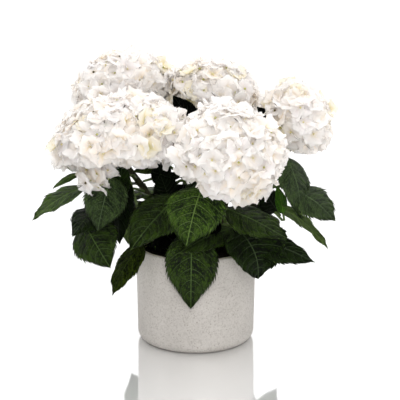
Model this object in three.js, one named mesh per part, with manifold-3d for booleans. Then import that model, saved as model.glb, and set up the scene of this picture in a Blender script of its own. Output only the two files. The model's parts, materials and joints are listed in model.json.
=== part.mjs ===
// Potted hydrangea: five mophead flower heads on five woody stems, sprays of
// broad leaves round them, in a straight-sided stoneware pot.
// Millimetres, +Z up, the front of the plant faces -Y. The origin is the
// centre of the pot's flat underside.
import * as THREE from 'three';
import { mergeVertices } from 'three/addons/utils/BufferGeometryUtils.js';
import Module from 'manifold-3d';

const wasm = await Module();
wasm.setup();

// ---------------------------------------------------------------- dimensions
const GAP = 0.4;                 // clearance between neighbouring pieces

const POT_R = 80;                // outer radius at the rim
const POT_FOOT_R = 77.8;         // outer radius just above the foot curve
const POT_H = 130.5;             // height of the pot
const POT_FILLET = 12;           // rounded edge between wall and underside
const POT_WALL = 6.5;            // wall thickness at the foot
const POT_LIP = 6;               // wall thickness at the rim
const POT_FLOOR = 9;             // thickness of the floor
const POT_SIDES = 40;

const SOIL_Z = 117;              // mean height of the potting soil
const SOIL_LUMP = 2.2;           // unevenness of its top

const STEM_SINK = 26;            // stem length that stands in the soil
const STEM_SIDES = 7;
const STEM_STEPS = 6;

const LEAF_T = 5.5;              // thickness of a leaf pad along its midrib
const LEAF_EDGE_T = 2.6;         // thickness at its margin
const PETIOLE_R = 2.4;

const HEAD_DETAIL = 4;           // facets of the two large front heads
const HEAD_DETAIL_SMALL = 3;     // facets of the three smaller ones
const HUB_DETAIL = 1;            // facets of the lump a spray grows from

// ------------------------------------------------------------------- helpers
const V = (x, y, z) => new THREE.Vector3(x, y, z);
const polar = (deg, r, z) => V(r * Math.cos(deg * Math.PI / 180), r * Math.sin(deg * Math.PI / 180), z);

function toSolid(geometry) {
  geometry.deleteAttribute('normal');
  geometry.deleteAttribute('uv');
  const g = mergeVertices(geometry, 1e-4);
  const solid = new wasm.Manifold(new wasm.Mesh({
    numProp: 3,
    vertProperties: Float32Array.from(g.attributes.position.array),
    triVerts: Uint32Array.from(g.index.array),
  }));
  if (solid.volume() > 0) return solid;
  const idx = g.index.array;
  for (let i = 0; i < idx.length; i += 3) { const k = idx[i]; idx[i] = idx[i + 1]; idx[i + 1] = k; }
  return new wasm.Manifold(new wasm.Mesh({
    numProp: 3,
    vertProperties: Float32Array.from(g.attributes.position.array),
    triVerts: Uint32Array.from(idx),
  }));
}

function warp(geometry, f) {
  const p = geometry.attributes.position;
  for (let i = 0; i < p.count; i++) {
    const v = f(V(p.getX(i), p.getY(i), p.getZ(i)));
    p.setXYZ(i, v.x, v.y, v.z);
  }
  return geometry;
}

const union = (list) => list.reduce((a, b) => a.add(b));
const cut = (solid, list) => list.reduce((a, b) => a.subtract(b), solid);
function largest(solid) {
  let best = null;
  for (const piece of solid.decompose()) if (!best || piece.volume() > best.volume()) best = piece;
  return best;
}

// smooth unevenness over directions, about -1 to 1
function lumps(d, seed) {
  const s = seed * 1.7;
  return 0.42 * Math.sin(3.1 * d.x + 2.3 * d.y + s) + 0.33 * Math.sin(4.7 * d.y - 3.9 * d.z + 2.1 * s)
    + 0.25 * Math.sin(6.3 * d.z + 5.1 * d.x - 1.3 * s);
}

// a tapered limb: a lathe-turned spindle bent along a curve
function limb(points, r0, r1, grow = 0, sides = STEM_SIDES, steps = STEM_STEPS) {
  const curve = new THREE.CatmullRomCurve3(points, false, 'centripetal');
  const profile = [new THREE.Vector2(0, 0)];
  for (let i = 0; i <= steps; i++) {
    const t = i / steps;
    profile.push(new THREE.Vector2(r0 + (r1 - r0) * t + grow, t));
  }
  profile.push(new THREE.Vector2(0, 1));
  const side = V(0.31, 0.95, 0.07);
  return toSolid(warp(new THREE.LatheGeometry(profile, sides), (v) => {
    const t = Math.min(1, Math.max(0, v.y));
    const at = curve.getPointAt(t), along = curve.getTangentAt(t);
    const b = along.clone().cross(side).normalize(), n = b.clone().cross(along);
    return at.addScaledVector(n, v.x).addScaledVector(b, v.z)
      .addScaledVector(along, grow * (t < 0.5 ? -1 : 1) * (t === 0 || t === 1 ? 1 : 0));
  }));
}

// an ovate leaf pad from base to tip, arched, folded along its midrib
const OUTLINE_A = 0.62, OUTLINE_B = 1.0;
function outline(u) {
  const m = OUTLINE_A / (OUTLINE_A + OUTLINE_B);
  const k = m ** OUTLINE_A * (1 - m) ** OUTLINE_B;
  return (u ** OUTLINE_A) * ((1 - u) ** OUTLINE_B) / k;
}
function pad(leaf, grow = 0) {
  const along = leaf.tip.clone().sub(leaf.base);
  const dir = along.clone().normalize();
  const up = leaf.up.clone().addScaledVector(dir, -leaf.up.dot(dir)).normalize();
  const mid = leaf.base.clone().add(leaf.tip).multiplyScalar(0.5).addScaledVector(up, 2 * leaf.arch);
  const fold = leaf.fold ?? -0.1;
  return toSolid(warp(new THREE.BoxGeometry(1, 2, 1, 4, 2, 1), (v) => {
    const u = v.x + 0.5;
    const w = 1 - u;
    const at = leaf.base.clone().multiplyScalar(w * w).addScaledVector(mid, 2 * u * w).addScaledVector(leaf.tip, u * u);
    const tan = mid.clone().sub(leaf.base).multiplyScalar(2 * w).addScaledVector(leaf.tip.clone().sub(mid), 2 * u).normalize();
    const side = tan.clone().cross(up).normalize();
    const nor = side.clone().cross(tan);
    const half = Math.max(leaf.width / 2 * outline(u), 1.8) + grow;
    const t = (Math.abs(v.y) > 0.5 ? LEAF_EDGE_T : LEAF_T) / 2 + grow;
    return at.addScaledVector(side, v.y * half)
      .addScaledVector(nor, fold * Math.abs(v.y) * half + Math.sign(v.z) * t)
      .addScaledVector(tan, grow * (u < 0.01 ? -1 : u > 0.99 ? 1 : 0));
  }));
}

// a lump of small inner leaves and leaf bases that a spray grows from
function hub(centre, radii, seed, grow = 0) {
  return toSolid(warp(new THREE.OctahedronGeometry(1, HUB_DETAIL), (v) => {
    const d = v.clone().normalize();
    const k = 1 + 0.18 * lumps(d, seed);
    return V(d.x * (radii[0] * k + grow), d.y * (radii[1] * k + grow), d.z * (radii[2] * k + grow)).add(centre);
  }));
}

function petiole(from, to, grow = 0) {
  const mid = from.clone().add(to).multiplyScalar(0.5).add(V(0, 0, 3));
  return limb([from, mid, to], PETIOLE_R, PETIOLE_R * 0.85, grow, 5, 1);
}

// ----------------------------------------------------------------------- pot
function pot(grow = 0) {
  const P = [new THREE.Vector2(0, -grow)];
  const foot = POT_FOOT_R + grow, cz = POT_FILLET - grow;
  for (let i = 0; i <= 3; i++) {
    const a = -Math.PI / 2 + (Math.PI / 2) * (i / 3);
    P.push(new THREE.Vector2(foot - POT_FILLET + POT_FILLET * Math.cos(a), cz + POT_FILLET * Math.sin(a)));
  }
  const lip = POT_LIP / 2;
  P.push(new THREE.Vector2(POT_R + grow, POT_H - lip));
  P.push(new THREE.Vector2(POT_R - lip * 0.6 + grow * 0.5, POT_H + grow));
  P.push(new THREE.Vector2(POT_R - lip * 1.4 - grow * 0.5, POT_H + grow));
  P.push(new THREE.Vector2(POT_R - POT_LIP - grow, POT_H - lip));
  P.push(new THREE.Vector2(POT_FOOT_R - POT_WALL - grow, POT_FLOOR + 8));
  P.push(new THREE.Vector2(POT_FOOT_R - POT_WALL - 8, POT_FLOOR + grow));
  P.push(new THREE.Vector2(0, POT_FLOOR + grow));
  const g = new THREE.LatheGeometry(P, POT_SIDES);
  g.rotateX(Math.PI / 2);
  return toSolid(g);
}

function soilFill(grow = 0) {
  const at = (z) => POT_FOOT_R - POT_WALL + (POT_R - POT_LIP - POT_FOOT_R + POT_WALL) * (z - POT_FLOOR - 8) / (POT_H - POT_FLOOR - 10);
  const g = 0.7;
  const P = [new THREE.Vector2(0, POT_FLOOR + g), new THREE.Vector2(POT_FOOT_R - POT_WALL - 8.6, POT_FLOOR + g),
    new THREE.Vector2(at(POT_FLOOR + 8) - g, POT_FLOOR + 8), new THREE.Vector2(at(SOIL_Z) - g - 0.3, SOIL_Z - 1.5),
    new THREE.Vector2(52, SOIL_Z), new THREE.Vector2(26, SOIL_Z + 1), new THREE.Vector2(0, SOIL_Z + 1.5)];
  const geo = new THREE.LatheGeometry(P, 16);
  geo.rotateX(Math.PI / 2);
  return toSolid(warp(geo, (v) => {
    const top = v.z > SOIL_Z - 3;
    return V(v.x, v.y, top ? v.z + grow + SOIL_LUMP * lumps(V(v.x / 40, v.y / 40, 0.3), 4) : v.z);
  }));
}

// -------------------------------------------------------------- flower heads
// centre, half sizes, lean of the head (tilt about X then Y, degrees), and
// its bulges: a direction, how far it swells (share of the radius), how wide.
// Two heads are hollowed underneath, outside their hanging lobe: the direction
// of the hollow, its depth, and the cosine at which it starts
const HEADS = {
  front_left: { at: V(-99, -40, 278), half: [82, 71, 59], tilt: [10, -8], seed: 2,
    bulges: [[V(-0.2, -0.25, -1), 0.17, 0.07], [V(-1, -0.1, -0.3), 0.07, 0.12], [V(0.75, -0.3, 0.5), 0.08, 0.14]],
    hollow: [V(0.75, -0.1, -0.65), 26, 0.25] },
  front_right: { at: V(39, -97, 274), half: [72, 66, 69], tilt: [34, 6], seed: 5,
    bulges: [[V(0.8, -0.5, -0.35), 0.06, 0.12], [V(-0.6, 0.1, 0.8), 0.05, 0.15]],
    hollow: [V(-0.5, 0.1, -0.85), 16, 0.34] },
  back: { at: V(22, 72, 317), half: [60, 59, 49], tilt: [-10, 4], seed: 7,
    bulges: [[V(-0.8, 0.1, 0.4), 0.07, 0.14], [V(0.9, 0.1, -0.1), 0.06, 0.12]] },
  right: { at: V(133, 12, 298), half: [51, 53, 46], tilt: [6, 22], seed: 9,
    bulges: [[V(0.8, -0.4, -0.5), 0.1, 0.1], [V(-0.5, -0.3, 0.9), 0.05, 0.14]] },
  back_left: { at: V(-101, 91, 324), half: [64, 60, 47], tilt: [-12, -8], seed: 12,
    bulges: [[V(0.8, 0.1, 0.45), 0.09, 0.14], [V(-0.9, -0.2, -0.2), 0.05, 0.12]] },
};
function hollowAt(h, d, turn) {
  const [way, depth, start] = h.hollow;
  const t = Math.min(1, Math.max(0, (d.clone().applyEuler(turn).dot(way.clone().normalize()) - start) / 0.5));
  let lobe = 0;
  for (const [dir, , wide] of h.bulges) {
    if (dir.z < -0.9) lobe = Math.max(lobe, Math.min(1, 1.7 * Math.exp((d.dot(dir.clone().normalize()) - 1) / (0.6 * wide))));
  }
  return depth * t * (1 - lobe);
}
function flowerHead(h, grow = 0) {
  const turn = new THREE.Euler(h.tilt[0] * Math.PI / 180, h.tilt[1] * Math.PI / 180, 0);
  return toSolid(warp(new THREE.IcosahedronGeometry(1, h.half[0] > 70 ? HEAD_DETAIL : HEAD_DETAIL_SMALL), (v) => {
    const d = v.clone().normalize();
    let r = 1 + 0.04 * lumps(d, h.seed);
    for (const [dir, swell, wide] of h.bulges) r += swell * Math.exp((d.dot(dir.clone().normalize()) - 1) / wide);
    const under = d.z < -0.35 ? 1 - 0.22 * (-0.35 - d.z) : 1;   // flatter round the stalk
    const g = grow - (h.hollow ? hollowAt(h, d, turn) : 0);
    return V(d.x * (h.half[0] * r + g), d.y * (h.half[1] * r + g), d.z * (h.half[2] * r * under + g))
      .applyEuler(turn).add(h.at);
  }));
}

// --------------------------------------------------------------------- stems
// each runs from the soil up into its flower head: points above the soil
const STEMS = {
  front_left: { pts: [V(-20, -12, SOIL_Z), V(-58, -28, 160), V(-90, -37, 200), V(-99, -40, 245)], r: [5.6, 3.8] },
  front_right: { pts: [V(12, -18, SOIL_Z), V(28, -42, 165), V(38, -70, 205), V(42, -92, 240)], r: [5.6, 3.8] },
  back: { pts: [V(-2, 8, SOIL_Z), V(-13, 22, 170), V(-10, 40, 228), V(12, 62, 285)], r: [5.4, 3.6] },
  right: { pts: [V(24, 0, SOIL_Z), V(58, -2, 162), V(98, 2, 208), V(126, 9, 262)], r: [5.2, 3.5] },
  back_left: { pts: [V(-14, 14, SOIL_Z), V(-42, 34, 155), V(-71, 50, 193), V(-99, 70, 232), V(-102, 84, 290)], r: [5.4, 3.5] },
  side_shoot: { pts: [V(-86, -36, 196), V(-112, -46, 205), V(-136, -46, 222), V(-144, -44, 236)], r: [3, 2.2], sink: 0 },
};
function stem(s, grow = 0) {
  const start = s.pts[0].clone();
  const dir = s.pts[1].clone().sub(start).normalize();
  const sink = s.sink ?? STEM_SINK;
  const first = sink ? [start.clone().add(V(-dir.x * 6, -dir.y * 6, -sink))] : [];
  return limb([...first, ...s.pts], s.r[0], s.r[1], grow);
}

// ------------------------------------------------------------ foliage sprays
// Each spray: the lump it grows from, and its leaves as
// [base, tip, width, the way its face looks, arch].
const F = {
  front: { hub: [V(24, -48, 172), [24, 18, 16]], leaves: [
    [V(3, -82, 212), V(-11, -122, 163), 76, V(-0.05, -0.6, 0.8), 8],
    [V(44, -62, 168), V(-21, -106, 148), 44, V(-0.3, -0.55, 0.8), 5],
    [V(-2, -80, 174), V(-4, -106, 76), 68, V(0, -0.9, 0.35), 9]] },
  front_left: { hub: [V(-48, -34, 178), [26, 16, 17]], leaves: [
    [V(-20, -45, 206), V(-82, -104, 152), 68, V(-0.25, -0.62, 0.75), 7],
    [V(-76, -20, 222), V(-98, -62, 147), 48, V(-0.35, -0.7, 0.6), 8],
    [V(-68, -55, 146), V(-108, -72, 81), 49, V(-0.75, -0.5, 0.2), 7],
    [V(-33, -21, 199), V(-37, -33, 240), 32, V(0, -0.9, 0.3), 3]] },
  left: { hub: [V(-110, -42, 202), [20, 16, 16]], leaves: [
    [V(-110, -66, 216), V(-124, -92, 173), 56, V(-0.1, -0.8, 0.55), 5],
    [V(-115, -38, 192), V(-156, -80, 162), 56, V(-0.45, -0.55, 0.7), 7],
    [V(-144, -48, 172), V(-109, -92, 124), 62, V(-0.25, -0.75, 0.5), 7],
    [V(-84, -42, 204), V(-92, -64, 240), 36, V(0.8, -0.5, 0.3), 3]] },
  left_tip: { hub: [V(-146, -45, 230), [8, 7, 9]], leaves: [
    [V(-150, -45, 238), V(-183, -52, 220), 18, V(0.1, -0.05, 1), 3],
    [V(-144, -47, 220), V(-205, -68, 181), 52, V(0.05, -0.3, 1), 6]] },
  front_right: { hub: [V(56, -58, 172), [20, 17, 16]], leaves: [
    [V(39, -78, 196), V(115, -108, 168), 56, V(0.3, -0.5, 0.8), 4],
    [V(57, -56, 163), V(84, -88, 106), 70, V(0.4, -0.7, 0.5), 11],
    [V(77, -48, 150), V(153, -72, 126), 54, V(0.2, -0.4, 0.9), 5]] },
  right: { hub: [V(112, -6, 205), [18, 15, 20]], leaves: [
    [V(122, -10, 240), V(140, -34, 175), 50, V(0.55, -0.6, 0.5), 8],
    [V(135, -14, 206), V(182, -32, 172), 48, V(0.35, -0.6, 0.7), 6],
    [V(115, -15, 176), V(107, -18, 212), 18, V(0.3, -0.9, 0.3), 3],
    [V(108, -8, 177), V(90, -17, 206), 34, V(0.2, -0.9, 0.3), 3],
    [V(106, -10, 180), V(167, -34, 131), 44, V(0.35, 0.5, 0.8), 8]] },
  inner: { hub: [V(-14, 34, 206), [22, 18, 16]], leaves: [
    [V(-32, 20, 218), V(-80, -8, 236), 26, V(-0.2, -0.3, 0.9), 4],
    [V(4, 44, 222), V(64, 30, 214), 52, V(0.1, 0.2, 1), 6],
    [V(0, 12, 214), V(28, -30, 204), 54, V(0.1, -0.2, 1), 5]] },
  back_left: { hub: [V(-66, 50, 184), [26, 20, 18]], leaves: [
    [polar(140, 96, 196), polar(146, 178, 176), 66, V(-0.3, 0.4, 1), 8],
    [polar(118, 96, 190), polar(116, 176, 158), 70, V(-0.2, 0.6, 0.9), 9],
    [polar(160, 92, 168), polar(166, 158, 136), 62, V(-0.6, 0.2, 0.8), 8],
    [polar(132, 88, 158), polar(132, 138, 96), 68, V(-0.6, 0.7, 0.35), 9],
    [V(-96, 22, 196), V(-138, 30, 160), 54, V(-0.7, 0.1, 0.7), 7]] },
  back: { hub: [V(0, 52, 178), [26, 18, 17]], leaves: [
    [polar(84, 84, 204), polar(82, 166, 182), 70, V(0, 0.4, 1), 8],
    [polar(62, 84, 184), polar(58, 160, 142), 68, V(0.3, 0.6, 0.8), 9],
    [polar(104, 78, 176), polar(102, 152, 134), 66, V(-0.1, 0.7, 0.8), 9],
    [polar(82, 84, 160), polar(84, 112, 82), 70, V(0, 0.95, 0.3), 9],
    [polar(70, 84, 226), polar(66, 150, 214), 54, V(0.1, 0.4, 1), 6]] },
  back_right: { hub: [V(74, 30, 186), [24, 20, 18]], leaves: [
    [polar(34, 98, 214), polar(40, 172, 206), 60, V(0.2, 0.4, 1), 7],
    [polar(14, 74, 172), polar(4, 99, 116), 54, V(0.8, 0.1, 0.6), 6],
    [polar(38, 92, 172), polar(36, 142, 112), 66, V(0.7, 0.5, 0.5), 9],
    [polar(54, 92, 200), polar(62, 150, 190), 58, V(0.2, 0.5, 0.9), 7],
    [V(90, 22, 190), V(132, 44, 150), 50, V(0.7, 0.2, 0.7), 7]] },
};
const asLeaf = ([base, tip, width, up, arch]) => ({ base, tip, width, up, arch });

// a petiole leaves the lump at its skin, and every leaf lies on its petiole
function spray(s, seed, grow = 0) {
  const [centre, radii] = s.hub;
  const list = [hub(centre, radii, seed, grow)];
  for (const l of s.leaves.map(asLeaf)) {
    const inward = l.tip.clone().sub(l.base).normalize();
    list.push(pad(l, grow), petiole(centre, l.base.clone().addScaledVector(inward, 5), grow));
  }
  return union(list);
}

// ------------------------------------------------------------------ assembly
const group = new THREE.Group();
group.name = 'potted_hydrangea';

function addNode(name, solid, colour, roughness) {
  const m = solid.getMesh();
  const g = new THREE.BufferGeometry();
  g.setAttribute('position', new THREE.BufferAttribute(Float32Array.from(m.vertProperties), 3));
  g.setIndex(new THREE.BufferAttribute(Uint32Array.from(m.triVerts), 1));
  g.computeVertexNormals();
  const mesh = new THREE.Mesh(g, new THREE.MeshStandardMaterial({ color: colour, roughness, metalness: 0 }));
  mesh.name = name;
  group.add(mesh);
}

const headSolids = {}, fatHeads = [];
for (const [k, h] of Object.entries(HEADS)) {
  headSolids[k] = largest(cut(flowerHead(h), fatHeads));
  fatHeads.push(flowerHead(h, GAP));
}

const fatStems = [];
const stemSolids = {};
for (const [k, s] of Object.entries(STEMS)) {
  stemSolids[k] = largest(cut(stem(s), [...fatHeads, ...fatStems]));
  fatStems.push(stem(s, GAP));
}

addNode('pot', pot(), 0xc6c1bc, 0.75);
addNode('potting_soil', largest(cut(soilFill(), fatStems)), 0x1c1814, 0.95);
for (const [k, s] of Object.entries(stemSolids)) addNode(k === 'side_shoot' ? k : `stem_${k}`, s, 0x55603a, 0.7);
for (const [k, s] of Object.entries(headSolids)) addNode(`flower_head_${k}`, s, 0xf4f0ea, 0.7);

const potClear = [pot(GAP), soilFill(GAP)];
const fatSprays = [];
let seed = 20;
for (const [k, s] of Object.entries(F)) {
  seed += 1;
  addNode(`foliage_${k}`, largest(cut(spray(s, seed), [...fatHeads, ...fatStems, ...potClear, ...fatSprays])), 0x3c5230, 0.55);
  fatSprays.push(spray(s, seed, GAP));
}

export default group;
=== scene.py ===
import json
import math

import bpy
import numpy as np
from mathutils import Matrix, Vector

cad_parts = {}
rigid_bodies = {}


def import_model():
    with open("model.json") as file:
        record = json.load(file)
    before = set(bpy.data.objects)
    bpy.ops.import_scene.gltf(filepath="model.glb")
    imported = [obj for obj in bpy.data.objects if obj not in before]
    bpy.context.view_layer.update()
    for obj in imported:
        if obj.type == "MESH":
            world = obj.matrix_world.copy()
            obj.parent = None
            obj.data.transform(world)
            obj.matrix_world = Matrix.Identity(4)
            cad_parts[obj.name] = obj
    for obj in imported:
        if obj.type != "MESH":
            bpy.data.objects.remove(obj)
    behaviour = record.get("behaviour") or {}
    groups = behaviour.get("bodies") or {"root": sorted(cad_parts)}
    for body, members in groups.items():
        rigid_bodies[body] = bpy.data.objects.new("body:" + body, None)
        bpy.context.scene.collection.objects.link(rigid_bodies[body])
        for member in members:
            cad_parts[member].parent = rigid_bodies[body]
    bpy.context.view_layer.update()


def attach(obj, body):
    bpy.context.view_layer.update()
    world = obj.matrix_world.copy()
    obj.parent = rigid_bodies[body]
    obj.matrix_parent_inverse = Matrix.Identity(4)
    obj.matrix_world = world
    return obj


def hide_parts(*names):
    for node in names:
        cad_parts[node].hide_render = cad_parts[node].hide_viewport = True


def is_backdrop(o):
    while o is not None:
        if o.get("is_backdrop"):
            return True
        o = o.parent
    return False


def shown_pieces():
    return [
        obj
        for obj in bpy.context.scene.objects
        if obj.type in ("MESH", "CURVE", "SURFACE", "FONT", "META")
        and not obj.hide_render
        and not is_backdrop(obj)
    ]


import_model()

MM = 0.001               # every length below is in millimetres, written out in metres
RNG = np.random.default_rng(20)

# ---------------------------------------------------------------- dimensions
POT_R, POT_FOOT_R, POT_H, POT_FILLET = 80.0, 77.8, 130.5, 12.0
POT_WALL, POT_LIP, POT_FLOOR = 6.5, 6.0, 9.0
SOIL_Z = 117.0
OUT_A, OUT_B = 0.62, 1.0           # outline of a leaf
ROWS = 63                          # rows of a leaf, each running along the side veins
VEIN_ROW0, VEIN_ROWS = 4, 9        # row of the first side vein, rows from one to the next
VEIN_SWEEP, VEIN_POW = 0.27, 1.45  # how far a side vein runs towards the tip on its way out


def V(*a):
    return np.array(a, float)


def unit(a):
    a = np.asarray(a, float)
    return a / np.maximum(np.linalg.norm(a, axis=-1, keepdims=True), 1e-12)


def polar(deg, r, z):
    return V(r * math.cos(math.radians(deg)), r * math.sin(math.radians(deg)), z)


# ------------------------------------------------------------ mesh gathering
class Soup:
    """Vertices, faces, material slots and pattern coordinates of one joined piece."""

    def __init__(self):
        self.v, self.q, self.t, self.qm, self.tm, self.uv, self.n = [], [], [], [], [], [], 0
        self.mats = []

    def slot(self, mat):
        if mat not in self.mats:
            self.mats.append(mat)
        return self.mats.index(mat)

    def add(self, verts, quads=None, tris=None, mat=None, uv=None, qmat=None):
        verts = np.asarray(verts, float).reshape(-1, 3)
        k = self.slot(mat) if mat is not None else 0
        if uv is None:
            uv = np.zeros((len(verts), 2))
        if quads is not None and len(quads):
            q = np.asarray(quads, int).reshape(-1, 4)
            self.q.append(q + self.n)
            self.qm.append(np.full(len(q), k) if qmat is None else np.asarray(qmat, int))
        if tris is not None and len(tris):
            t = np.asarray(tris, int).reshape(-1, 3)
            self.t.append(t + self.n)
            self.tm.append(np.full(len(t), k))
        self.v.append(verts)
        self.uv.append(np.asarray(uv, float).reshape(-1, 2))
        self.n += len(verts)

    def build(self, name, smooth=True, tiles=True):
        v = np.concatenate(self.v) * MM
        uv = np.concatenate(self.uv)
        q = np.concatenate(self.q) if self.q else np.zeros((0, 4), int)
        t = np.concatenate(self.t) if self.t else np.zeros((0, 3), int)
        qm = np.concatenate(self.qm) if self.qm else np.zeros(0, int)
        tm = np.concatenate(self.tm) if self.tm else np.zeros(0, int)
        me = bpy.data.meshes.new(name)
        loops = np.concatenate([q.ravel(), t.ravel()])
        size = np.concatenate([np.full(len(q), 4), np.full(len(t), 3)])
        start = np.concatenate([[0], np.cumsum(size)[:-1]])
        mats = np.concatenate([qm, tm])
        me.vertices.add(len(v))
        me.vertices.foreach_set("co", v.astype(np.float32).ravel())
        me.loops.add(len(loops))
        me.loops.foreach_set("vertex_index", loops.astype(np.int32))
        me.polygons.add(len(size))
        me.polygons.foreach_set("loop_start", start.astype(np.int32))
        me.polygons.foreach_set("material_index", mats.astype(np.int32))
        me.polygons.foreach_set("use_smooth", np.full(len(size), smooth))
        for m in self.mats:
            me.materials.append(m)
        raw = uv[loops]
        if tiles:
            cols = math.ceil(math.sqrt(len(self.mats)))
            rows = math.ceil(len(self.mats) / cols)
            lm = np.repeat(mats, size)
            inset = 0.03
            x = (lm % cols + inset + (1 - 2 * inset) * np.clip(raw[:, 0], 0, 1)) / cols
            y = (lm // cols + inset + (1 - 2 * inset) * np.clip(raw[:, 1], 0, 1)) / rows
            bake = np.stack([x, y], 1)
        else:
            bake = raw
        pattern = me.uv_layers.new(name="pattern")
        pattern.data.foreach_set("uv", raw.astype(np.float32).ravel())
        layer = me.uv_layers.new(name="OFBake")
        layer.data.foreach_set("uv", bake.astype(np.float32).ravel())
        me.uv_layers.active = me.uv_layers["OFBake"]
        me.update(calc_edges=True)
        me.validate()
        ob = bpy.data.objects.new(name, me)
        bpy.context.scene.collection.objects.link(ob)
        return ob


def grid_quads(n, m, wrap=False):
    """Faces of an n by m grid of vertices, row by row."""
    i = np.arange(n - 1)[:, None]
    j = np.arange(m if wrap else m - 1)[None, :]
    k = (j + 1) % m
    return np.stack([i * m + j, i * m + k, (i + 1) * m + k, (i + 1) * m + j], -1).reshape(-1, 4)


def curve_points(points, n):
    """A centripetal Catmull-Rom curve through points, n samples evenly along it."""
    p = np.asarray(points, float)
    p = np.vstack([2 * p[0] - p[1], p, 2 * p[-1] - p[-2]])
    out = []
    for a, b, c, d in zip(p[:-3], p[1:-2], p[2:-1], p[3:]):
        t1 = max(np.linalg.norm(b - a) ** 0.5, 1e-6)
        t2 = t1 + max(np.linalg.norm(c - b) ** 0.5, 1e-6)
        t3 = t2 + max(np.linalg.norm(d - c) ** 0.5, 1e-6)
        t = np.linspace(t1, t2, 24, endpoint=False)[:, None]
        a1 = (t1 - t) / t1 * a + t / t1 * b
        a2 = (t2 - t) / (t2 - t1) * b + (t - t1) / (t2 - t1) * c
        a3 = (t3 - t) / (t3 - t2) * c + (t - t2) / (t3 - t2) * d
        b1 = (t2 - t) / t2 * a1 + t / t2 * a2
        b2 = (t3 - t) / (t3 - t1) * a2 + (t - t1) / (t3 - t1) * a3
        out.append((t2 - t) / (t2 - t1) * b1 + (t - t1) / (t2 - t1) * b2)
    out = np.vstack([*out, p[-2][None]])
    s = np.concatenate([[0], np.cumsum(np.linalg.norm(np.diff(out, axis=0), axis=1))])
    at = np.linspace(0, s[-1], n)
    return np.stack([np.interp(at, s, out[:, i]) for i in range(3)], 1), s[-1]


def frames_along(c):
    tan = unit(np.gradient(c, axis=0))
    ref = V(0.31, 0.95, 0.07)
    b = unit(np.cross(tan, ref))
    return tan, np.cross(b, tan), b


def tube(soup, mat, centre, radius, sides=8, relief=None, u0=0.0, u1=1.0):
    """A closed tapering tube; relief is a function of (ring, side) added to the radius."""
    n = len(centre)
    _, a, b = frames_along(centre)
    th = np.linspace(0, 2 * np.pi, sides, endpoint=False)
    r = np.broadcast_to(np.asarray(radius, float)[:, None] if np.ndim(radius) else radius, (n, sides)).copy()
    if relief is not None:
        r += relief
    v = centre[:, None] + (a[:, None] * np.cos(th)[None, :, None] + b[:, None] * np.sin(th)[None, :, None]) * r[..., None]
    uv = np.stack(np.broadcast_arrays(np.abs(np.linspace(-1, 1, sides, endpoint=False))[None, :],
                                      np.linspace(u0, u1, n)[:, None]), -1)
    verts = np.vstack([v.reshape(-1, 3), centre[:1], centre[-1:]])
    uvs = np.vstack([uv.reshape(-1, 2), [[0.5, u0]], [[0.5, u1]]])
    q = grid_quads(n, sides, True)
    j = np.arange(sides)
    k = (j + 1) % sides
    t = np.vstack([np.stack([np.full(sides, n * sides), k, j], 1),
                   np.stack([np.full(sides, n * sides + 1), (n - 1) * sides + j, (n - 1) * sides + k], 1)])
    soup.add(verts, q, t, mat, uvs)


# ----------------------------------------------------------------- materials
def srgb(r, g, b):
    f = lambda c: (c / 255) / 12.92 if c / 255 <= 0.04045 else ((c / 255 + 0.055) / 1.055) ** 2.4
    return (f(r), f(g), f(b), 1.0)


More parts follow.
